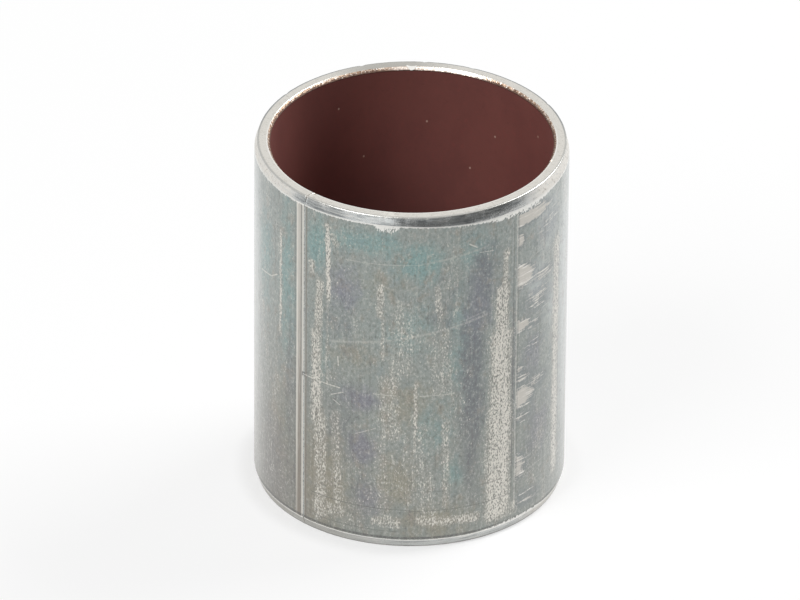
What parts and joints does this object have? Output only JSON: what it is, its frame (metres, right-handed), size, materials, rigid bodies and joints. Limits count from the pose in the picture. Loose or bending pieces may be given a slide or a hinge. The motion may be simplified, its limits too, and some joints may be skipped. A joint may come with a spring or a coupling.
{
  "type": "sleeve bearing",
  "caption": "Plain cylindrical sleeve bearing rolled from steel-backed strip, with a butt joint, a bronze interlayer and a thin red-brown sliding layer in the bore.",
  "frame": {"origin": "centre of the bush's lower end face, on the bore's axis", "axes": "+Z along the bore, from the lower end face to the upper one; the butt joint lies at -Y"},
  "size_m": [0.05, 0.05, 0.061],
  "materials": {
    "steel": "worn grey-green patina on rolled steel, bare and bright at the end faces and chamfers",
    "bronze": "sintered bronze, granular where the inner chamfer cuts it",
    "liner": "satin red-brown low-friction polymer"
  },
  "bodies": {
    "root": {"steel_backing": "steel", "bronze_layer": "bronze", "sliding_layer": "liner"}
  },
  "joints": []
}
